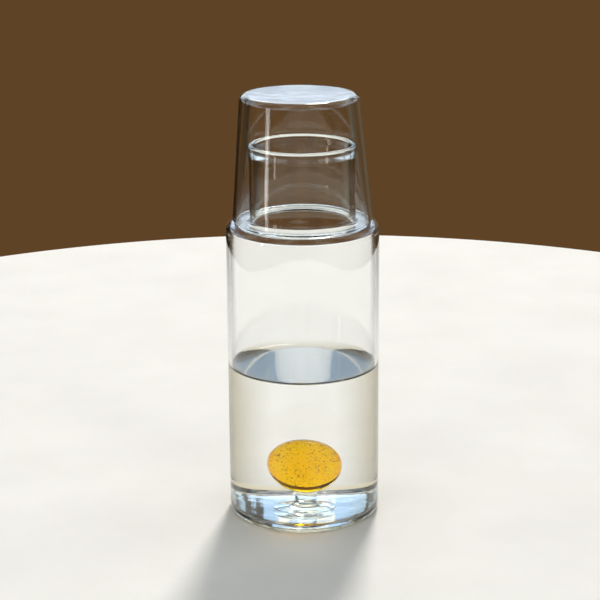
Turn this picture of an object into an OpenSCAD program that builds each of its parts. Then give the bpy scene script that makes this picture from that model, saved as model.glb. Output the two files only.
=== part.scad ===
// Bedside carafe with its tumbler turned over the neck. The carafe stands on z = 0, its axis is +Z.
// A coloured glass ball stands on a clear glass stem inside, in still water.

/* [Carafe] */
// Outer diameter of the body
body_d = 90; // [80:1:110]
// Height of the shoulder above the table
shoulder_h = 180; // [150:1:220]
// Glass thickness of the body, the shoulder and the neck
wall = 2.2; // [1.6:0.1:3]
// Thickness of the floor
floor_t = 3.5; // [2.5:0.1:6]
// Outer radius of the heel, where the body meets the table
heel_r = 3.6; // [2.6:0.1:5]
// Inner radius where the floor turns up into the wall
floor_fillet = 4; // [2:0.1:6]
// Outer radius where the body turns in to the shoulder
shoulder_r = 6.5; // [5:0.1:9]
// Outer radius of the hollow where the shoulder turns up into the neck
neck_fillet = 2; // [1:0.1:4]
// Height of the rounded lip
lip_h = 6.5; // [4:0.1:9]
// How far the lip stands out from the neck
lip_out = 1.1; // [0.4:0.1:1.8]

/* [Tumbler] */
// Height of the tumbler
tumbler_h = 73.8; // [66:0.1:90]
// How far the tumbler's rim lies inside the body's side
rim_inset = 4; // [3:0.1:6]
// How far the tumbler's base end lies inside the body's side
base_inset = 10.1; // [9:0.1:13]
// Glass thickness at the tumbler's rim
rim_t = 2.2; // [1.6:0.1:3]
// Glass thickness of the tumbler's side near its base
side_t = 3.3; // [2.2:0.1:4]
// Thickness of the tumbler's base
base_t = 1.8; // [1.4:0.1:6]
// Outer radius round the tumbler's base
base_r = 3.6; // [2.5:0.1:6]
// Inner radius round the tumbler's base
base_fillet = 2.5; // [1:0.1:5]
// Free height between the lip and the inside of the tumbler's base
headroom = 26.6; // [10:0.1:32]

/* [Ball on its stem] */
// Diameter of the glass ball
ball_d = 33; // [24:0.5:44]
// Height of the ball's lowest point above the floor
ball_lift = 10.3; // [7:0.1:20]
// Diameter of the stem
stem_d = 9.5; // [6:0.1:14]
// Diameter of the stem's foot
foot_d = 28; // [24:0.5:40]
// Thickness of the foot at its edge
foot_t = 1; // [0.6:0.1:1.6]
// Radius of the hollow between the stem and its foot
foot_fillet = 4; // [2:0.1:5]

/* [Water] */
// Depth of the water above the floor
water_depth = 87.2; // [60:0.1:130]

/* [Clearances] */
// Gap between the shoulder and the rim that rests on it
seat_gap = 0.3; // [0.2:0.05:0.4]
// Gap all round between the lip and the tumbler
lip_gap = 2.2; // [1.5:0.1:3]
// Gap between the water and the glass that holds it
water_gap = 0.2; // [0.1:0.05:0.4]
// Gap between the ball and the cup on top of the stem
cup_gap = 0.1; // [0.05:0.05:0.3]

/* [Hidden] */
$fn = 180;
// Overrun of every cut past the face that it opens
cut_over = 1;

body_r = body_d / 2;
bore_r = body_r - wall;
// Centre of the arc where the body turns in to the shoulder
shoulder_c = [body_r - shoulder_r, shoulder_h - shoulder_r];

// Tumbler: the rim's round end rests on the shoulder, and the side is straight from rim to base
rim_r = body_r - rim_inset;
rim_round = rim_t / 2;
rim_over = max(0, rim_r - rim_round - shoulder_c[0]);
rim_z = shoulder_c[1] + sqrt(pow(shoulder_r + rim_round + seat_gap, 2) - pow(rim_over, 2));
tumbler_top = rim_z - rim_round + tumbler_h;
base_c_z = tumbler_top - base_r;
side_tilt = atan((base_inset - rim_inset) / (base_c_z - rim_z));
rim_c = [rim_r - rim_round / cos(side_tilt), rim_z];
base_c = [body_r - base_inset - base_r / cos(side_tilt), base_c_z];

// Inside of the tumbler: its side is tangent to the rim's round end and to the base's inner fillet
hollow_top = tumbler_top - base_t;
hollow_c_z = hollow_top - base_fillet;
hollow_r = body_r - base_inset + (base_c_z - hollow_c_z) * tan(side_tilt) - side_t;
rim_dr = rim_c[0] - hollow_r;
rim_dz = hollow_c_z - rim_z;
hollow_tilt = atan(rim_dr / rim_dz) - asin(rim_round / norm([rim_dr, rim_dz]));
hollow_c = [hollow_r - base_fillet / cos(hollow_tilt), hollow_c_z];

// Neck: it ends below the tumbler's base and stays clear of the tumbler's side
lip_top = hollow_top - headroom;
lip_r = hollow_r + (hollow_c_z - lip_top) * tan(hollow_tilt) - lip_gap;
neck_r = lip_r - lip_out;
mouth_r = neck_r - wall;
lip_round = (lip_r - mouth_r) / 2;
lip_c_r = mouth_r + lip_round;

// Ball and stem
ball_r = ball_d / 2;
ball_z = floor_t + ball_lift + ball_r;
stem_r = stem_d / 2;
foot_r = foot_d / 2;
foot_round = foot_t / 2;

water_z = floor_t + water_depth;

// Point at radius r and at the tilt of a straight side, seen from an arc's centre
function beside(centre, r, tilt) = centre + r * [cos(tilt), sin(tilt)];

// Half section of a round bar from z0 to z1, with its outer corners rounded
module bar_section(r, z0, z1, low_r, high_r) {
    translate([0, z0 + low_r]) square([r, z1 - z0 - low_r - high_r]);
    translate([0, z0]) square([r - low_r, z1 - z0]);
    translate([0, z1 - high_r]) square([r - high_r, high_r]);
    corner_section([r - low_r, z0 + low_r], low_r);
    corner_section([r - high_r, z1 - high_r], high_r);
}

// Full round that makes the corner of a section
module corner_section(centre, r) {
    translate(centre) circle(r);
}

// Hollow corner that rises from z against a side of radius side
module fillet_section(side, z, r) {
    difference() {
        translate([side, z]) square(r);
        translate([side + r, z + r]) circle(r);
    }
}

// Everything inside the carafe's outer surface
module carafe_outer_section() {
    bar_section(body_r, 0, shoulder_h, heel_r, shoulder_r);
    square([neck_r, lip_top - lip_round]);
    fillet_section(neck_r, shoulder_h, neck_fillet);
    square([lip_c_r, lip_top - lip_round]);
    translate([mouth_r, lip_top - lip_h + lip_round]) square([2 * lip_round, lip_h - 2 * lip_round]);
    corner_section([lip_c_r, lip_top - lip_h + lip_round], lip_round);
}

// The carafe's hollow, from its floor out through the mouth
module carafe_hollow_section() {
    under_shoulder = shoulder_h - wall;
    bar_section(bore_r, floor_t, under_shoulder, floor_fillet, shoulder_r - wall);
    translate([0, floor_t + floor_fillet]) square([mouth_r, lip_top + cut_over - floor_t - floor_fillet]);
    fillet_section(mouth_r, under_shoulder, neck_fillet + wall);
}

// One-piece vessel: body, flat shoulder, straight neck and rounded lip
module carafe() {
    color([0.86, 0.93, 0.93, 0.4])
    rotate_extrude() {
        difference() {
            carafe_outer_section();
            carafe_hollow_section();
        }
        corner_section([lip_c_r, lip_top - lip_round], lip_round);
    }
}

// Half section of the stem on its spread foot, before the ball's cup is cut
module stem_section(gap) {
    translate([0, floor_t - gap]) square([foot_r - foot_round, foot_t + 2 * gap]);
    corner_section([foot_r - foot_round, floor_t + foot_round], foot_round + gap);
    translate([0, floor_t - gap]) square([stem_r + gap, ball_lift + ball_r]);
    fillet_section(stem_r + gap, floor_t + foot_t + gap, foot_fillet);
}

// Clear stem, fused to the floor at its foot and cupped for the ball
module stem() {
    color([0.82, 0.91, 0.92, 0.5])
    difference() {
        rotate_extrude() stem_section(0);
        translate([0, 0, ball_z]) sphere(ball_r + cup_gap);
    }
}

// Solid ball of amber glass
module ball() {
    color([0.98, 0.72, 0.05, 0.9])
    translate([0, 0, ball_z]) sphere(ball_r);
}

// Still water up to its level, round the ball and the stem
module water() {
    color([0.75, 0.87, 0.93, 0.35])
    difference() {
        rotate_extrude() water_section();
        translate([0, 0, ball_z]) sphere(ball_r + water_gap);
    }
}

module water_section() {
    difference() {
        union() {
            translate([0, floor_t + floor_fillet]) square([bore_r - water_gap, water_depth - floor_fillet]);
            translate([0, floor_t + water_gap]) square([bore_r - floor_fillet, floor_fillet]);
            corner_section([bore_r - floor_fillet, floor_t + floor_fillet], floor_fillet - water_gap);
        }
        stem_section(water_gap);
    }
}

// Solid outline of the tumbler, rim down
module tumbler_outer_section() {
    polygon([
        [0, rim_z], rim_c, beside(rim_c, rim_round, side_tilt), beside(base_c, base_r, side_tilt),
        base_c, [base_c[0], tumbler_top], [0, tumbler_top]
    ]);
    corner_section(base_c, base_r);
}

// The tumbler's hollow, open at the rim
module tumbler_hollow_section() {
    polygon([
        [0, rim_z - cut_over], [rim_c[0], rim_z - cut_over], rim_c,
        beside(rim_c, -rim_round, hollow_tilt), beside(hollow_c, base_fillet, hollow_tilt),
        hollow_c, [hollow_c[0], hollow_top], [0, hollow_top]
    ]);
    corner_section(hollow_c, base_fillet);
}

// Tapered tumbler, upside down over the neck
module tumbler() {
    color([0.88, 0.93, 0.92, 0.4])
    rotate_extrude() {
        difference() {
            tumbler_outer_section();
            tumbler_hollow_section();
        }
        corner_section(rim_c, rim_round);
    }
}

carafe();
stem();
ball();
water();
tumbler();
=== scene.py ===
import math

import bpy
from mathutils import Matrix, Vector


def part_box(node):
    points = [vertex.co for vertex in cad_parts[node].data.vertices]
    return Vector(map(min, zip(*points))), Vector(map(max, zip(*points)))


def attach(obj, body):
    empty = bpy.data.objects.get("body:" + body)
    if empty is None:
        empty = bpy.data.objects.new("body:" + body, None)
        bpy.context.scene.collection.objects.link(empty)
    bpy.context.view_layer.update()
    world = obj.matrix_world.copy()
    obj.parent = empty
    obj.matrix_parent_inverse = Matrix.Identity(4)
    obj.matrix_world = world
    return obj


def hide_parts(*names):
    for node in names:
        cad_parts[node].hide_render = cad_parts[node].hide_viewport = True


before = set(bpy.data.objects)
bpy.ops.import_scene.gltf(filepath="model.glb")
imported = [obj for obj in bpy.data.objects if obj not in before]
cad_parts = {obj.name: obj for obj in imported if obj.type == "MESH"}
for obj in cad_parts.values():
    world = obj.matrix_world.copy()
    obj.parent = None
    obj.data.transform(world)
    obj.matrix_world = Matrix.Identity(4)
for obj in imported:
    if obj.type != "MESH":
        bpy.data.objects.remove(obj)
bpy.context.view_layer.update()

# Units and fineness of the turned pieces
MM = 0.001
TURN_STEPS = 168
ARC_STEPS = 9
BALL_SEGMENTS = 128
BALL_RINGS = 64
WELD = 0.01 * MM
LONGEST_EDGE = 4 * MM
SHARP_ANGLE = math.radians(40)

# Heights and radii read from the frame
_, carafe_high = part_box("carafe")
tumbler_low, tumbler_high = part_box("tumbler")
ball_low, ball_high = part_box("ball")
stem_low, stem_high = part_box("stem")
_, water_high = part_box("water")
BODY_R = carafe_high[0]
LIP_TOP = carafe_high[2]
TUMBLER_TOP = tumbler_high[2]
RIM_Z = tumbler_low[2]
BALL_R = (ball_high[2] - ball_low[2]) / 2
BALL_Z = (ball_high[2] + ball_low[2]) / 2
FOOT_R = stem_high[0]
FLOOR_Z = stem_low[2]
WATER_Z = water_high[2]

# Carafe
WALL = 2.2 * MM
SHOULDER_Z = 180 * MM
HEEL_R = 3.6 * MM
FLOOR_FILLET = 4 * MM
SHOULDER_R = 6.5 * MM
NECK_R = 30.87 * MM
NECK_FILLET = 2 * MM
LIP_R = 31.8 * MM
MOUTH_R = NECK_R - WALL
# The lip swells out of the neck over this height, and its side is this high
LIP_SWELL_H = 7 * MM
LIP_SIDE_H = 2.8 * MM
LIP_SOFT_R = 9 * MM
# Inside, the wall thickens toward the lip over a longer way
LIP_IN = 0.6 * MM
LIP_IN_H = 16 * MM

# Tumbler
RIM_R = 41.1 * MM
RIM_T = 2.2 * MM
BASE_R = 34.6 * MM
BASE_T = 1.8 * MM
SIDE_T = 3.3 * MM
BASE_ROUND = 3.6 * MM
BASE_FILLET = 2.5 * MM
# The rim is nearly a half round, a little fuller outside than inside
RIM_ROUND_OUT = RIM_T / 2.1
RIM_ROUND_IN = RIM_T / 2.3
# Its base is sunk a little, so that it stands on a ring when it is used as a cup
SUNK_R = 29 * MM
SUNK_DEPTH = 0.25 * MM
SUNK_SOFT_R = 400 * MM
# It was blown by hand and leans a little: this is how far its base end stands to the left
LEAN = 1.5 * MM

# Stem
STEM_R = 4.75 * MM
# Its foot is thin at the edge and thickens toward the stem
FOOT_EDGE_T = 0.5 * MM
FOOT_MIDDLE_R = 9.5 * MM
FOOT_T = 1 * MM
FOOT_SOFT_R = 12 * MM
FOOT_RISE = 2 * MM
FOOT_FILLET = 4 * MM
# How far the foot reaches into the floor that it is fused to
FOOT_OVERLAP = 0.25 * MM
# It leans a little to the right, and the ball on it leans back to the left
STEM_LEAN = 1 * MM
BALL_LEAN = 0.6 * MM
# Bead where the ball is fused on, and how far its middle reaches into the ball
BEAD_OUT = 0.9 * MM
BEAD_H = 2.2 * MM
BEAD_OVERLAP = 0.05 * MM

# Water: it climbs the wall in a meniscus, whose curve follows from how far water can rise.
# The steps of the curve crowd toward its foot by a power.
WATER_GAP = 0.05 * MM
MENISCUS_H = 2.9 * MM
MENISCUS_STEPS = 12
MENISCUS_POWER = 1.6
RISE_LENGTH = 2.7 * MM
WET_TOP = WATER_Z + MENISCUS_H

# Refraction: glass against water bends light by the one over the other, and the water's own side,
# which only lies against that glass, doesn't bend it again
GLASS_IOR = 1.5
WATER_IOR = 1.333
GLASS_IN_WATER = GLASS_IOR / WATER_IOR
NO_BEND = 1.0


def start_edit(obj):
    """Edit mode on this object alone, with nothing selected."""
    bpy.ops.object.select_all(action="DESELECT")
    obj.select_set(True)
    bpy.context.view_layer.objects.active = obj
    bpy.ops.object.mode_set(mode="EDIT")
    bpy.ops.mesh.select_all(action="DESELECT")


def end_edit():
    bpy.ops.object.mode_set(mode="OBJECT")


def pick_vertices(obj, wanted):
    """Selects the vertices whose place passes the test."""
    bpy.ops.mesh.select_mode(type="VERT")
    bpy.ops.mesh.select_all(action="DESELECT")
    bpy.ops.object.mode_set(mode="OBJECT")
    for v in obj.data.vertices:
        v.select = bool(wanted(obj.matrix_world @ v.co))
    bpy.ops.object.mode_set(mode="EDIT")


def draw_section(name, corners):
    """Draws a half section by extruding one point from corner to corner, then rounds each corner.

    A corner is (radius from the axis, height, rounding radius).
    """
    first = Vector((corners[0][0], 0, corners[0][1]))
    bpy.ops.object.select_all(action="DESELECT")
    bpy.ops.mesh.primitive_plane_add(size=MM, location=first)
    section = bpy.context.object
    section.name = section.data.name = name
    bpy.ops.object.transform_apply(location=True, rotation=True, scale=True)
    start_edit(section)
    bpy.ops.mesh.select_all(action="SELECT")
    bpy.ops.mesh.merge(type="CENTER")
    last = first
    for r, z, _ in corners[1:]:
        point = Vector((r, 0, z))
        bpy.ops.mesh.extrude_region_move(TRANSFORM_OT_translate={"value": point - last})
        last = point
    for before, corner, after in zip(corners, corners[1:], corners[2:]):
        if corner[2]:
            round_corner(section, before, corner, after)
    return section


def round_corner(section, before, corner, after):
    """Bevels the outline's vertex at a corner to an arc of its rounding radius."""
    here = Vector((corner[0], 0, corner[1]))
    way_in = here - Vector((before[0], 0, before[1]))
    way_out = Vector((after[0], 0, after[1])) - here
    offset = corner[2] * math.tan(way_in.angle(way_out) / 2)
    pick_vertices(section, lambda p: (p - here).length < WELD)
    bpy.ops.mesh.bevel(affect="VERTICES", offset_type="OFFSET", offset=offset, segments=ARC_STEPS)


def split_long_edges(section, longest):
    """Halves every edge longer than the limit, again and again, so that straight walls shade straight."""
    while True:
        end_edit()
        mesh = section.data
        mesh.vertices.foreach_set("select", [False] * len(mesh.vertices))
        long_edges = 0
        for edge in mesh.edges:
            a, b = (mesh.vertices[i].co for i in edge.vertices)
            edge.select = (a - b).length > longest
            long_edges += edge.select
        bpy.ops.object.mode_set(mode="EDIT")
        bpy.ops.mesh.select_mode(type="EDGE")
        if not long_edges:
            return
        bpy.ops.mesh.subdivide(number_cuts=1)
        bpy.ops.mesh.select_all(action="DESELECT")


def turn_on_axis(section):
    """Spins the section round the axis into one closed smooth solid."""
    split_long_edges(section, LONGEST_EDGE)
    bpy.ops.mesh.select_mode(type="VERT")
    bpy.ops.mesh.select_all(action="SELECT")
    bpy.ops.mesh.spin(steps=TURN_STEPS, angle=math.tau, center=(0, 0, 0), axis=(0, 0, 1))
    bpy.ops.mesh.select_all(action="SELECT")
    bpy.ops.mesh.remove_doubles(threshold=WELD)
    bpy.ops.mesh.normals_make_consistent(inside=False)
    end_edit()
    bpy.ops.object.shade_smooth_by_angle(angle=SHARP_ANGLE)
    return section


def lean_sideways(piece, low_z, high_z, low_shift, high_shift):
    """Leans a piece with a lattice whose two ends move this far to the right, or left below zero."""
    bpy.ops.object.select_all(action="DESELECT")
    bpy.ops.object.add(type="LATTICE", location=(0, 0, (low_z + high_z) / 2))
    cage = bpy.context.object
    cage.scale = (2 * BODY_R, 2 * BODY_R, high_z - low_z)
    cage.data.interpolation_type_w = "KEY_LINEAR"
    for point in cage.data.points:
        shift = high_shift if point.co.z > 0 else low_shift
        point.co_deform.x += shift / (2 * BODY_R)
    bpy.ops.object.select_all(action="DESELECT")
    bpy.context.view_layer.objects.active = piece
    piece.select_set(True)
    lean = piece.modifiers.new("lean", "LATTICE")
    lean.object = cage
    bpy.ops.object.modifier_apply(modifier=lean.name)
    bpy.data.objects.remove(cage)


def make_carafe():
    """Body, shoulder, neck and lip. The inner wall has a ring of points where the water's edge ends."""
    under_shoulder = SHOULDER_Z - WALL
    lip_in_r = MOUTH_R - LIP_IN
    lip_round = (LIP_R - lip_in_r) / 2 - WELD
    section = draw_section("carafe_glass", [
        (0, 0, 0),
        (BODY_R, 0, HEEL_R),
        (BODY_R, SHOULDER_Z, SHOULDER_R),
        (NECK_R, SHOULDER_Z, NECK_FILLET),
        (NECK_R, LIP_TOP - LIP_SWELL_H, LIP_SOFT_R),
        (LIP_R, LIP_TOP - LIP_SIDE_H, LIP_SOFT_R),
        (LIP_R, LIP_TOP, lip_round),
        (lip_in_r, LIP_TOP, lip_round),
        (lip_in_r, LIP_TOP - LIP_SIDE_H, LIP_SOFT_R),
        (MOUTH_R, LIP_TOP - LIP_IN_H, LIP_SOFT_R),
        (MOUTH_R, under_shoulder, NECK_FILLET + WALL),
        (BODY_R - WALL, under_shoulder, SHOULDER_R - WALL),
        (BODY_R - WALL, WET_TOP, 0),
        (BODY_R - WALL, FLOOR_Z, FLOOR_FILLET),
        (0, FLOOR_Z, 0),
    ])
    return turn_on_axis(section)


def make_tumbler():
    """Tapered tumbler, rim down, drawn from the middle of its base out and back inside."""
    hollow_top = TUMBLER_TOP - BASE_T
    taper = (RIM_R - BASE_R) / (TUMBLER_TOP - RIM_Z)
    section = draw_section("tumbler_glass", [
        (0, TUMBLER_TOP - SUNK_DEPTH, 0),
        (SUNK_R / 2, TUMBLER_TOP - SUNK_DEPTH, SUNK_SOFT_R),
        (SUNK_R, TUMBLER_TOP, 0),
        (BASE_R, TUMBLER_TOP, BASE_ROUND),
        (RIM_R, RIM_Z, RIM_ROUND_OUT),
        (RIM_R - RIM_T, RIM_Z, RIM_ROUND_IN),
        (BASE_R + BASE_T * taper - SIDE_T, hollow_top, BASE_FILLET),
        (0, hollow_top, 0),
    ])
    glass = turn_on_axis(section)
    lean_sideways(glass, RIM_Z, TUMBLER_TOP, 0, -LEAN)
    return glass


def make_stem():
    """Stem on its spread foot, with the bead that carries the ball."""
    top = BALL_Z - math.sqrt(BALL_R ** 2 - (STEM_R + BEAD_OUT) ** 2)
    section = draw_section("stem_glass", [
        (0, FLOOR_Z - FOOT_OVERLAP, 0),
        (FOOT_R, FLOOR_Z - FOOT_OVERLAP, 0),
        (FOOT_R, FLOOR_Z + FOOT_EDGE_T, FOOT_EDGE_T / 2),
        (FOOT_MIDDLE_R, FLOOR_Z + FOOT_T, FOOT_SOFT_R),
        (STEM_R, FLOOR_Z + FOOT_RISE, FOOT_FILLET),
        (STEM_R, top - BEAD_H, BEAD_H / 2),
        (STEM_R + BEAD_OUT, top, 0),
        (0, BALL_Z - BALL_R + BEAD_OVERLAP, 0),
    ])
    glass = turn_on_axis(section)
    lean_sideways(glass, FLOOR_Z, top, 0, STEM_LEAN)
    return glass


def make_ball():
    """Ball that stands on the leaning stem and leans back."""
    bpy.ops.object.select_all(action="DESELECT")
    bpy.ops.mesh.primitive_uv_sphere_add(
        segments=BALL_SEGMENTS, ring_count=BALL_RINGS, radius=BALL_R, location=(0, 0, BALL_Z)
    )
    ball = bpy.context.object
    ball.name = ball.data.name = "amber_ball"
    bpy.ops.object.transform_apply(location=True, rotation=True, scale=True)
    bpy.ops.object.shade_smooth()
    lean_sideways(ball, BALL_Z - BALL_R, BALL_Z + BALL_R, STEM_LEAN, -BALL_LEAN)
    return ball


def meniscus_reach(rise):
    """How far from the wall a still surface stands this much higher than its middle."""
    def reach(h):
        return RISE_LENGTH * math.acosh(2 * RISE_LENGTH / h) - math.sqrt(4 * RISE_LENGTH ** 2 - h ** 2)
    return reach(rise) - reach(MENISCUS_H)


def make_water():
    """Water up to its level, with its edge drawn up the wall."""
    side = BODY_R - WALL - WATER_GAP
    shares = [(1 - step / MENISCUS_STEPS) ** MENISCUS_POWER for step in range(MENISCUS_STEPS)]
    rises = [MENISCUS_H * share for share in shares]
    section = draw_section("water_fill", [
        (0, FLOOR_Z + WATER_GAP, 0),
        (side, FLOOR_Z + WATER_GAP, FLOOR_FILLET),
        *((side - meniscus_reach(rise), WATER_Z + rise, 0) for rise in rises),
        (0, WATER_Z, 0),
    ])
    return turn_on_axis(section)


def set_input(links, socket, value):
    """Feeds a socket from another one, or sets it to a number."""
    if isinstance(value, bpy.types.NodeSocket):
        links.new(value, socket)
    else:
        socket.default_value = value


def math_node(nodes, links, operation, *values):
    """A Math node fed by sockets or numbers; gives its result socket."""
    node = nodes.new("ShaderNodeMath")
    node.operation = operation
    for socket, value in zip(node.inputs, values):
        set_input(links, socket, value)
    return node.outputs["Value"]


def grow(nodes, links, value, start, whole, low=0, high=1, way="LINEAR"):
    """Goes from low to high while a value goes from start to whole, and holds outside them."""
    node = nodes.new("ShaderNodeMapRange")
    node.interpolation_type = way
    limits = {"From Min": start, "From Max": whole, "To Min": low, "To Max": high}
    links.new(value, node.inputs["Value"])
    for label, limit in limits.items():
        set_input(links, node.inputs[label], limit)
    return node.outputs["Result"]


def noise_node(nodes, links, vector, scale=1, detail=1):
    noise = nodes.new("ShaderNodeTexNoise")
    noise.inputs["Scale"].default_value = scale
    noise.inputs["Detail"].default_value = detail
    links.new(vector, noise.inputs["Vector"])
    return noise.outputs["Fac"]


def mix_colours(nodes, links, factor, first, second):
    """Mixes two colours, each a socket or three numbers, by a factor socket."""
    mix = nodes.new("ShaderNodeMix")
    mix.data_type = "RGBA"
    links.new(factor, mix.inputs["Factor"])
    for label, value in (("A", first), ("B", second)):
        is_socket = isinstance(value, bpy.types.NodeSocket)
        set_input(links, mix.inputs[label], value if is_socket else (*value, 1))
    return mix.outputs["Result"]


def colour_ramp(nodes, links, value, stops):
    """Colours that change with a value, given as (position, colour)."""
    ramp = nodes.new("ShaderNodeValToRGB")
    links.new(value, ramp.inputs["Fac"])
    elements = ramp.color_ramp.elements
    elements.remove(elements[1])
    elements[0].position = stops[0][0]
    elements[0].color = (*stops[0][1], 1)
    for position, colour in stops[1:]:
        elements.new(position).color = (*colour, 1)
    return ramp.outputs["Color"]


# Patterns of blown glass. Scales are against a pattern's own size, the softness is a share of a cell,
# and a pattern starts and is whole at these values of its noise.
CORD_SCALE = 5
CORD_DETAIL = 2
SMEAR_DETAIL = 4
SMEAR_START = 0.55
SMEAR_WHOLE = 0.8
SEED_SOFTNESS = 0.05
THREAD_PATCH_SCALE = 0.7
THREAD_PATCH_START = 0.54
THREAD_PATCH_WHOLE = 0.60


def add_group(name, inputs, output):
    """An empty node group with number inputs and one number output."""
    group = bpy.data.node_groups.new(name, "ShaderNodeTree")
    for label in inputs:
        group.interface.new_socket(label, in_out="INPUT", socket_type="NodeSocketFloat")
    group.interface.new_socket(output, in_out="OUTPUT", socket_type="NodeSocketFloat")
    given = group.nodes.new("NodeGroupInput").outputs
    result = group.nodes.new("NodeGroupOutput").inputs[output]
    return group, group.nodes, group.links, given, result


def spread_coords(nodes, links, across, upright):
    """Object coordinates times one number across and another up, so that a pattern can be drawn out."""
    place = nodes.new("ShaderNodeTexCoord")
    factors = nodes.new("ShaderNodeCombineXYZ")
    links.new(across, factors.inputs["X"])
    links.new(across, factors.inputs["Y"])
    links.new(upright, factors.inputs["Z"])
    scaled = nodes.new("ShaderNodeVectorMath")
    scaled.operation = "MULTIPLY"
    links.new(place.outputs["Object"], scaled.inputs[0])
    links.new(factors.outputs["Vector"], scaled.inputs[1])
    return scaled.outputs["Vector"]


def cell_distance(nodes, links, vector, feature):
    """Distance from the middle of each cell, or from the border between cells."""
    cells = nodes.new("ShaderNodeTexVoronoi")
    cells.feature = feature
    cells.inputs["Scale"].default_value = 1
    links.new(vector, cells.inputs["Vector"])
    return cells.outputs["Distance"]


def make_waves_group():
    """Long soft waves and fine cords of blown glass, as a height."""
    group, nodes, links, given, result = add_group("blown_waves", ["Across", "Upright", "Cords"], "Height")
    vector = spread_coords(nodes, links, given["Across"], given["Upright"])
    waves = noise_node(nodes, links, vector)
    cords = noise_node(nodes, links, vector, CORD_SCALE, CORD_DETAIL)
    fine = math_node(nodes, links, "MULTIPLY", cords, given["Cords"])
    links.new(math_node(nodes, links, "ADD", waves, fine), result)
    return group


def make_marks_group():
    """Faint wiped streaks and finger marks, as a roughness from clean to marked."""
    group, nodes, links, given, result = add_group("faint_marks", ["Size", "Clean", "Marked"], "Roughness")
    vector = spread_coords(nodes, links, given["Size"], given["Size"])
    smears = noise_node(nodes, links, vector, detail=SMEAR_DETAIL)
    limits = (SMEAR_START, SMEAR_WHOLE, given["Clean"], given["Marked"])
    links.new(grow(nodes, links, smears, *limits), result)
    return group


def make_seeds_group():
    """Scattered seeds, the tiny closed bubbles in the glass, as a mask."""
    group, nodes, links, given, result = add_group("seeds", ["Spacing", "Size"], "Mask")
    vector = spread_coords(nodes, links, given["Spacing"], given["Spacing"])
    distance = cell_distance(nodes, links, vector, "F1")
    inside = math_node(nodes, links, "SUBTRACT", given["Size"], distance)
    links.new(grow(nodes, links, inside, 0, SEED_SOFTNESS), result)
    return group


def make_threads_group():
    """Short fine threads in the glass, as a mask: the borders between cells, where a noise is high."""
    group, nodes, links, given, result = add_group("threads", ["Spacing", "Width"], "Mask")
    vector = spread_coords(nodes, links, given["Spacing"], given["Spacing"])
    distance = cell_distance(nodes, links, vector, "DISTANCE_TO_EDGE")
    line = grow(nodes, links, distance, given["Width"], 0)
    patches = noise_node(nodes, links, vector, THREAD_PATCH_SCALE)
    here = grow(nodes, links, patches, THREAD_PATCH_START, THREAD_PATCH_WHOLE)
    links.new(math_node(nodes, links, "MULTIPLY", line, here), result)
    return group


WAVES = make_waves_group()
MARKS = make_marks_group()
SEEDS = make_seeds_group()
THREADS = make_threads_group()


def place_group(nodes, group, values):
    """Places a group with its own values, named in small letters; gives its one output."""
    node = nodes.new("ShaderNodeGroup")
    node.node_tree = group
    for label, value in values.items():
        node.inputs[label.capitalize()].default_value = value
    return node.outputs[0]


def new_material(name):
    mat = bpy.data.materials.new(name)
    mat.use_nodes = True
    nodes = mat.node_tree.nodes
    return mat, nodes, mat.node_tree.links, nodes["Principled BSDF"], nodes["Material Output"]


# A wall seen edge on gets painted shade there, a darker colour that stands in for dark surroundings seen
# in the glass: its colour, and how far it has to turn before that starts and is whole. The body's painted
# shade also deepens from a foot to a top, and begins at a least share of that colour.
BODY_EDGE_PAINTED_SHADE = {
    "colour": (0.012, 0.011, 0.006), "start": 0.62, "whole": 0.76,
    "foot": 85 * MM, "top": 165 * MM, "least": 0.25,
}
# Painted shade: the tumbler's walls darken to a brownish colour where they are seen edge on
TUMBLER_EDGE_PAINTED_SHADE = {"colour": (0.30, 0.26, 0.18), "start": 0.55, "whole": 0.85}
# Painted shade, partly the cream tint of the glass: the water's sides darken to cream where seen edge on
WATER_EDGE_PAINTED_SHADE = {"colour": (0.50, 0.455, 0.32), "start": 0.08, "whole": 0.40}
# Painted shade: the ball turns a deeper, darker orange where its surface is seen edge on
BALL_EDGE_PAINTED_SHADE = {"colour": (0.97, 0.44, 0.0), "start": 0.30, "whole": 0.9}
# With this blend the weight is one minus the cosine of the turn
PLAIN_BLEND = 0.5
# A wall counts as upright while its normal points less than this up or down
UPRIGHT_LEAN = 0.5


def painted_edge_shade(nodes, links, edge):
    """How far an upright wall is seen edge on, where its colour is darkened as painted shade."""
    weight = nodes.new("ShaderNodeLayerWeight")
    weight.inputs["Blend"].default_value = PLAIN_BLEND
    turned = grow(nodes, links, weight.outputs["Facing"], edge["start"], edge["whole"])
    place = nodes.new("ShaderNodeTexCoord")
    normal = nodes.new("ShaderNodeSeparateXYZ")
    links.new(place.outputs["Normal"], normal.inputs["Vector"])
    lean = math_node(nodes, links, "ABSOLUTE", normal.outputs["Z"])
    upright = math_node(nodes, links, "LESS_THAN", lean, UPRIGHT_LEAN)
    amount = math_node(nodes, links, "MULTIPLY", turned, upright)
    if "foot" not in edge:
        return amount
    point = nodes.new("ShaderNodeSeparateXYZ")
    links.new(place.outputs["Object"], point.inputs["Vector"])
    share = grow(nodes, links, point.outputs["Z"], edge["foot"], edge["top"], edge["least"])
    return math_node(nodes, links, "MULTIPLY", amount, share)


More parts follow.
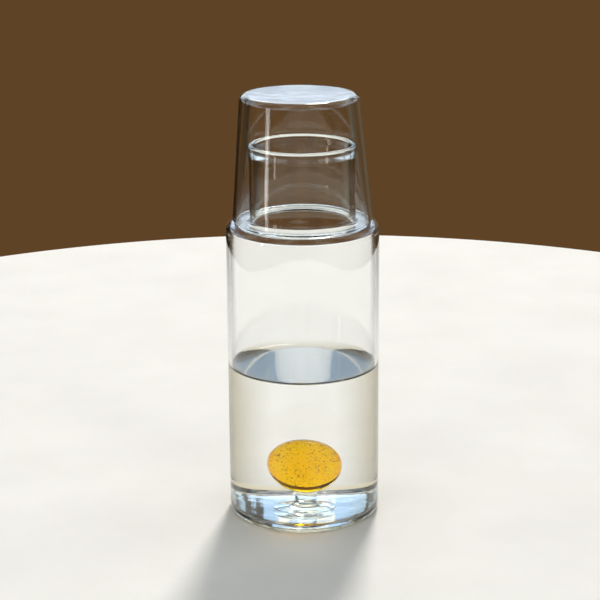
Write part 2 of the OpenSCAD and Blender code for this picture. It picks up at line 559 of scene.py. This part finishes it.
def glass_material(name, ior, colour, seed_colour, waves, wave_height, marks, seeds,
                   threads=None, edge=None, absorb=None, density=0):
    """Clear or coloured glass with waves, faint marks and seeds, and a colour that deepens with thickness.

    Threads take the seeds' colour. A piece with two materials has no absorption, because a ray can leave
    it through the one after it came in by the other.
    """
    mat, nodes, links, shader, out = new_material(name)
    shader.inputs["Transmission Weight"].default_value = 1
    shader.inputs["IOR"].default_value = ior

    flecks = place_group(nodes, SEEDS, seeds)
    if threads:
        flecks = math_node(nodes, links, "MAXIMUM", flecks, place_group(nodes, THREADS, threads))
    tint = mix_colours(nodes, links, flecks, colour, seed_colour)
    # Painted shade: where an edge is given, the colour is mixed toward its dark colour as the wall turns
    # edge on
    if edge:
        tint = mix_colours(nodes, links, painted_edge_shade(nodes, links, edge), tint, edge["colour"])
    links.new(tint, shader.inputs["Base Color"])
    links.new(place_group(nodes, MARKS, marks), shader.inputs["Roughness"])

    bump = nodes.new("ShaderNodeBump")
    bump.inputs["Strength"].default_value = 1
    bump.inputs["Distance"].default_value = wave_height
    links.new(place_group(nodes, WAVES, waves), bump.inputs["Height"])
    links.new(bump.outputs["Normal"], shader.inputs["Normal"])

    if absorb:
        volume = nodes.new("ShaderNodeVolumeAbsorption")
        volume.inputs["Color"].default_value = (*absorb, 1)
        volume.inputs["Density"].default_value = density
        links.new(volume.outputs["Volume"], out.inputs["Volume"])
    return mat


def carafe_clear():
    return glass_material(
        "carafe_clear", GLASS_IOR,
        colour=(0.985, 0.99, 0.985),
        seed_colour=(0.30, 0.29, 0.26),
        waves={"across": 60, "upright": 12, "cords": 0.2},
        wave_height=0.10 * MM,
        marks={"size": 70, "clean": 0, "marked": 0.03},
        seeds={"spacing": 75, "size": 0.034},
        edge=BODY_EDGE_PAINTED_SHADE,
    )


def carafe_wet():
    return glass_material(
        "carafe_wet", GLASS_IN_WATER,
        colour=(0.985, 0.99, 0.985),
        seed_colour=(0.9, 0.93, 0.92),
        waves={"across": 45, "upright": 22, "cords": 0.12},
        wave_height=0.08 * MM,
        marks={"size": 70, "clean": 0, "marked": 0},
        seeds={"spacing": 55, "size": 0.05},
    )


def carafe_bottom(name, colour, seed_colour):
    """Glass of the carafe's underside or of its heel, which only their tint tells apart. Both tints are
    painted light.
    """
    return glass_material(
        name, GLASS_IOR,
        colour=colour,
        seed_colour=seed_colour,
        waves={"across": 60, "upright": 12, "cords": 0.2},
        wave_height=0.08 * MM,
        marks={"size": 70, "clean": 0, "marked": 0},
        seeds={"spacing": 55, "size": 0.05},
    )


# Painted light: the underside's blue tint stands in for bluish light on the shaded floor under the carafe
def carafe_base_painted_blue_light():
    return carafe_bottom("carafe_base_painted_blue_light", colour=(0.30, 0.52, 1.0), seed_colour=(0.3, 0.5, 0.9))


# Painted light: the heel's cream tint stands in for warm light on the floor under the heel, seen through
# it
def carafe_heel_painted_light():
    return carafe_bottom("carafe_heel_painted_light", colour=(1.0, 0.88, 0.60), seed_colour=(0.9, 0.85, 0.6))


def tumbler_clear():
    return glass_material(
        "tumbler_clear", GLASS_IOR,
        colour=(0.99, 1.0, 0.99),
        seed_colour=(0.45, 0.46, 0.45),
        waves={"across": 80, "upright": 8, "cords": 0.25},
        wave_height=0.09 * MM,
        marks={"size": 90, "clean": 0, "marked": 0.04},
        seeds={"spacing": 85, "size": 0.034},
        edge=TUMBLER_EDGE_PAINTED_SHADE,
        absorb=(0.6, 0.8, 0.66),
        density=12,
    )


def stem_clear():
    return glass_material(
        "stem_clear", GLASS_IN_WATER,
        colour=(0.98, 1.0, 0.99),
        seed_colour=(0.85, 0.9, 0.9),
        waves={"across": 120, "upright": 60, "cords": 0.2},
        wave_height=0.08 * MM,
        marks={"size": 150, "clean": 0, "marked": 0.02},
        seeds={"spacing": 160, "size": 0.08},
        absorb=(0.6, 0.8, 0.7),
        density=12,
    )


def ball_amber():
    return glass_material(
        "ball_amber", GLASS_IN_WATER,
        colour=(1.0, 0.76, 0.02),
        seed_colour=(0.14, 0.05, 0.0),
        waves={"across": 90, "upright": 60, "cords": 0.3},
        wave_height=0.06 * MM,
        marks={"size": 120, "clean": 0, "marked": 0.04},
        seeds={"spacing": 580, "size": 0.2},
        threads={"spacing": 400, "width": 0.045},
        edge=BALL_EDGE_PAINTED_SHADE,
        absorb=(1.0, 0.94, 0.0),
        density=170,
    )


def still_water(name, ior, edge=None):
    return glass_material(
        name, ior,
        colour=(1, 1, 1),
        seed_colour=(0.97, 0.98, 0.98),
        waves={"across": 60, "upright": 60, "cords": 0.1},
        wave_height=0.02 * MM,
        marks={"size": 60, "clean": 0, "marked": 0},
        seeds={"spacing": 90, "size": 0.03},
        edge=edge,
    )


def give_material(obj, mat):
    obj.data.materials.clear()
    obj.data.materials.append(mat)


def add_material(obj, mat, wanted):
    """Gives one more material to the faces whose centre and normal pass the test."""
    obj.data.materials.append(mat)
    start_edit(obj)
    bpy.ops.mesh.select_mode(type="FACE")
    end_edit()
    for face in obj.data.polygons:
        face.select = bool(wanted(face.center, face.normal))
    bpy.ops.object.mode_set(mode="EDIT")
    obj.active_material_index = len(obj.data.materials) - 1
    bpy.ops.object.material_slot_assign()
    end_edit()


# A face counts as pointing up, down or out where its normal goes this far that way
POINTS_UP = 0.5
POINTS_DOWN = -0.1
POINTS_STRAIGHT_DOWN = -0.9
POINTS_OUT = 0.3


def is_wet(centre, normal):
    """Inner faces of the carafe below the water's edge."""
    radius = math.hypot(centre.x, centre.y)
    faces_in = normal.x * centre.x + normal.y * centre.y < 0 or normal.z > POINTS_UP
    return radius < BODY_R - WALL / 2 and FLOOR_Z - WELD < centre.z < WET_TOP and faces_in


def is_underside(centre, normal):
    """Flat underside of the carafe."""
    return centre.z < WELD and normal.z < POINTS_STRAIGHT_DOWN


def is_heel(centre, normal):
    """Rounded heel between the underside and the body's side."""
    return WELD < centre.z < HEEL_R and math.hypot(centre.x, centre.y) > BODY_R - HEEL_R


def lies_on_glass(centre, normal):
    """Side and bottom of the water."""
    radius = math.hypot(centre.x, centre.y)
    faces_out = normal.x * centre.x + normal.y * centre.y > POINTS_OUT * radius
    return centre.z < WET_TOP - WELD and (faces_out or normal.z < POINTS_DOWN)


carafe = make_carafe()
tumbler = make_tumbler()
stem = make_stem()
ball = make_ball()
water = make_water()

give_material(carafe, carafe_clear())
add_material(carafe, carafe_wet(), is_wet)
add_material(carafe, carafe_base_painted_blue_light(), is_underside)
add_material(carafe, carafe_heel_painted_light(), is_heel)
give_material(tumbler, tumbler_clear())
give_material(stem, stem_clear())
give_material(ball, ball_amber())
give_material(water, still_water("still_water", WATER_IOR))
add_material(water, still_water("water_on_glass", NO_BEND, WATER_EDGE_PAINTED_SHADE), lies_on_glass)

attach(carafe, "carafe")
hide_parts("carafe")
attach(stem, "carafe")
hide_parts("stem")
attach(ball, "carafe")
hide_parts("ball")
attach(water, "carafe")
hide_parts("water")
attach(tumbler, "tumbler")
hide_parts("tumbler")

# Stage: a pale oval floor, a brown band behind it and a pale sky of soft light over both
FLOOR_FAR_R = 0.67
FLOOR_SIDE_R = 0.605
FLOOR_THICK = 0.03
FLOOR_GAP = 0.1 * MM
FLOOR_SIDES = 256
# Its mottle goes between two pale colours
MOTTLE_STOPS = [(0.3, (0.80, 0.79, 0.765)), (0.7, (0.85, 0.84, 0.815))]
MOTTLE_SCALE = 14
MOTTLE_DETAIL = 6
GRAIN_SCALE = 160
GRAIN_DETAIL = 4
GRAIN_HEIGHT = 0.3 * MM
GRAIN_STRENGTH = 0.5
FLOOR_ROUGHNESS = 0.85
FLOOR_GLOSS = 0.1


def floor_material():
    """Pale matt floor, faintly mottled and grained."""
    mat, nodes, links, shader, _ = new_material("pale_floor")
    place = nodes.new("ShaderNodeTexCoord").outputs["Object"]
    mottle = noise_node(nodes, links, place, MOTTLE_SCALE, MOTTLE_DETAIL)
    links.new(colour_ramp(nodes, links, mottle, MOTTLE_STOPS), shader.inputs["Base Color"])
    grain = nodes.new("ShaderNodeBump")
    grain.inputs["Distance"].default_value = GRAIN_HEIGHT
    grain.inputs["Strength"].default_value = GRAIN_STRENGTH
    links.new(noise_node(nodes, links, place, GRAIN_SCALE, GRAIN_DETAIL), grain.inputs["Height"])
    links.new(grain.outputs["Normal"], shader.inputs["Normal"])
    shader.inputs["Roughness"].default_value = FLOOR_ROUGHNESS
    shader.inputs["Specular IOR Level"].default_value = FLOOR_GLOSS
    return mat


def make_floor():
    bpy.ops.object.select_all(action="DESELECT")
    bpy.ops.mesh.primitive_cylinder_add(vertices=FLOOR_SIDES, radius=1, depth=FLOOR_THICK)
    floor = bpy.context.object
    floor.name = "floor"
    floor.location.z = -FLOOR_THICK / 2 - FLOOR_GAP
    floor.scale = (FLOOR_SIDE_R, FLOOR_FAR_R, 1)
    bpy.ops.object.transform_apply(location=True, rotation=True, scale=True)
    give_material(floor, floor_material())


# Sky colours by height, from straight down (0) to straight up (1)
SKY_STOPS = [
    (0.549, (0.114, 0.056, 0.020)),
    (0.587, (1.35, 1.57, 1.85)),
    (0.635, (1.32, 1.55, 1.8)),
    (0.649, (1.3, 1.8, 2.4)),
    (0.663, (1.2, 1.65, 2.2)),
    (0.685, (0.62, 0.87, 1.17)),
    (0.71, (0.41, 0.65, 0.96)),
    (0.74, (0.33, 0.33, 0.33)),
    (1.0, (0.30, 0.28, 0.26)),
]
SKY_STRENGTH = 1.0
# Eight dark soft panels stand all round, a little wavy, and give clear glass its dark edges
PANELS = 8
PANEL_TURN = math.radians(1)
PANEL_WAVER = 0.2
PANEL_WAVER_SCALE = 3
PANEL_SIDE = 0.2
PANEL_CORE = -0.2
PANEL_COLOUR = (0.016, 0.013, 0.008)
PANEL_TOP = 0.26
PANEL_FADE = 0.12
# One of them is pale instead
PALE_BEARING = math.radians(21.5)
PALE_SIDE = 0.91
PALE_CORE = 0.94
PALE_COLOUR = (0.15, 0.115, 0.075)
# Soft shapes in the sky, dark ones and pale clouds, which show in the mirror under the carafe's floor.
# Each kind lies near one bearing, comes back all round, and fades in with height.
SHAPE_SCALE = 9
SHAPE_DETAIL = 3
SHAPE_REPEATS = 5
SHAPE_BIAS = 0.14
SHAPE_START = 0.575
SHAPE_WHOLE = 0.64
SHADE_COLOUR = (0.09, 0.08, 0.07)
SHADE_BEARING = math.radians(32)
SHADE_FOOT = 0.19
SHADE_TOP = 0.25
CLOUD_COLOUR = (1.25, 1.22, 1.05)
CLOUD_BEARING = math.radians(-1)
CLOUD_FOOT = 0.335
CLOUD_TOP = 0.375
# Middle value of a noise
NOISE_MIDDLE = 0.5


def smooth_step(nodes, links, value, start, whole):
    """Nothing before the start, all after the whole, and a soft change between them."""
    return grow(nodes, links, value, start, whole, way="SMOOTHSTEP")


def soft_shapes(nodes, links, patches, bearing, height, centre, foot, top):
    """Mask of the patches that lie near one bearing, and above a height."""
    around = math_node(nodes, links, "SUBTRACT", bearing, centre)
    near = math_node(nodes, links, "COSINE", math_node(nodes, links, "MULTIPLY", around, SHAPE_REPEATS))
    likely = math_node(nodes, links, "ADD", patches, math_node(nodes, links, "MULTIPLY", near, SHAPE_BIAS))
    mask = smooth_step(nodes, links, likely, SHAPE_START, SHAPE_WHOLE)
    return math_node(nodes, links, "MULTIPLY", mask, smooth_step(nodes, links, height, foot, top))


def panel_mask(nodes, links, direction, bearing, height):
    """Where the upright panels stand, up to the height at which they have faded."""
    turned = math_node(nodes, links, "ADD", bearing, PANEL_TURN)
    waver = noise_node(nodes, links, direction, PANEL_WAVER_SCALE)
    swing = math_node(nodes, links, "SUBTRACT", waver, NOISE_MIDDLE)
    shift = math_node(nodes, links, "MULTIPLY", swing, PANEL_WAVER)
    angle = math_node(nodes, links, "ADD", turned, shift)
    beat = math_node(nodes, links, "COSINE", math_node(nodes, links, "MULTIPLY", angle, PANELS))
    panel = smooth_step(nodes, links, beat, PANEL_SIDE, PANEL_CORE)
    fade = smooth_step(nodes, links, height, PANEL_TOP, PANEL_FADE)
    return math_node(nodes, links, "MULTIPLY", panel, fade)


def panel_colour(nodes, links, bearing):
    """Dark, and pale near one bearing."""
    turn = math_node(nodes, links, "SUBTRACT", bearing, PALE_BEARING)
    near = math_node(nodes, links, "COSINE", turn)
    pale = smooth_step(nodes, links, near, PALE_SIDE, PALE_CORE)
    return mix_colours(nodes, links, pale, PANEL_COLOUR, PALE_COLOUR)


def make_world():
    world = bpy.context.scene.world or bpy.data.worlds.new("soft_room")
    bpy.context.scene.world = world
    world.use_nodes = True
    nodes, links = world.node_tree.nodes, world.node_tree.links
    nodes.clear()
    direction = nodes.new("ShaderNodeTexCoord").outputs["Generated"]
    split = nodes.new("ShaderNodeSeparateXYZ")
    links.new(direction, split.inputs["Vector"])
    height = split.outputs["Z"]
    bearing = math_node(nodes, links, "ARCTAN2", split.outputs["X"], split.outputs["Y"])

    colour = colour_ramp(nodes, links, grow(nodes, links, height, -1, 1), SKY_STOPS)
    patches = noise_node(nodes, links, direction, SHAPE_SCALE, SHAPE_DETAIL)
    shapes = (nodes, links, patches, bearing, height)
    cloudy = soft_shapes(*shapes, CLOUD_BEARING, CLOUD_FOOT, CLOUD_TOP)
    colour = mix_colours(nodes, links, cloudy, colour, CLOUD_COLOUR)
    shaded = soft_shapes(*shapes, SHADE_BEARING, SHADE_FOOT, SHADE_TOP)
    colour = mix_colours(nodes, links, shaded, colour, SHADE_COLOUR)
    panels = panel_mask(nodes, links, direction, bearing, height)
    colour = mix_colours(nodes, links, panels, colour, panel_colour(nodes, links, bearing))

    back = nodes.new("ShaderNodeBackground")
    back.inputs["Strength"].default_value = SKY_STRENGTH
    links.new(colour, back.inputs["Color"])
    out = nodes.new("ShaderNodeOutputWorld")
    links.new(back.outputs["Background"], out.inputs["Surface"])


# Lamps: a large soft one high up behind, which gives the shadow its direction, and an upright strip
# at the left, which puts a small streak of light on the tumbler
KEY_PLACE = (1.3, 8.24, 8.56)
KEY_TARGET = (0, 0, 0.08)
KEY_SIZE = 1.8
KEY_POWER = 1110
KEY_COLOUR = (1.0, 0.95, 0.88)
STRIP_PLACE = (-1.06, -0.56, 0.30)
STRIP_TARGET = (0, 0, 0.30)
STRIP_WIDTH = 0.11
STRIP_HEIGHT = 0.48
STRIP_POWER = 0.8
STRIP_COLOUR = (1.0, 0.96, 0.90)


def make_lamp(name, place, target, size, power, colour, height=None):
    """A round soft lamp, or an upright strip where a height is given."""
    light = bpy.data.lights.new(name, "AREA")
    light.shape = "RECTANGLE" if height else "DISK"
    light.size = size
    if height:
        light.size_y = height
    light.energy = power
    light.color = colour
    lamp = bpy.data.objects.new(name, light)
    bpy.context.scene.collection.objects.link(lamp)
    lamp.location = place
    lamp.rotation_euler = (Vector(target) - Vector(place)).to_track_quat("-Z", "Y").to_euler()


make_floor()
make_world()
make_lamp("back_key", KEY_PLACE, KEY_TARGET, KEY_SIZE, KEY_POWER, KEY_COLOUR)
make_lamp("side_strip", STRIP_PLACE, STRIP_TARGET, STRIP_WIDTH, STRIP_POWER, STRIP_COLOUR, STRIP_HEIGHT)

# Camera at the photograph's height, distance, tilt and roll
CAMERA_PLACE = (-0.0018, -1.057, 0.440)
CAMERA_TILT = math.radians(90 - 16.31)
CAMERA_ROLL = math.radians(-0.40)
CAMERA_LENS = 111.54
CAMERA_SENSOR = 36
view_camera = bpy.data.cameras.new("view_camera")
view_camera.sensor_width = CAMERA_SENSOR
view_camera.lens = CAMERA_LENS
camera = bpy.data.objects.new("view_camera", view_camera)
bpy.context.scene.collection.objects.link(camera)
camera.location = CAMERA_PLACE
tilt = Matrix.Rotation(CAMERA_TILT, 3, "X")
roll = Matrix.Rotation(CAMERA_ROLL, 3, "Z")
camera.rotation_euler = (tilt @ roll).to_euler()
bpy.context.scene.camera = camera

# Light crosses eight and more faces of glass and water on its way, so it needs many bounces
GLASS_BOUNCES = 32
MIRROR_BOUNCES = 16
scene = bpy.context.scene
scene.view_settings.view_transform = "Standard"
scene.cycles.max_bounces = GLASS_BOUNCES
scene.cycles.transmission_bounces = GLASS_BOUNCES
scene.cycles.glossy_bounces = MIRROR_BOUNCES
scene.cycles.transparent_max_bounces = GLASS_BOUNCES
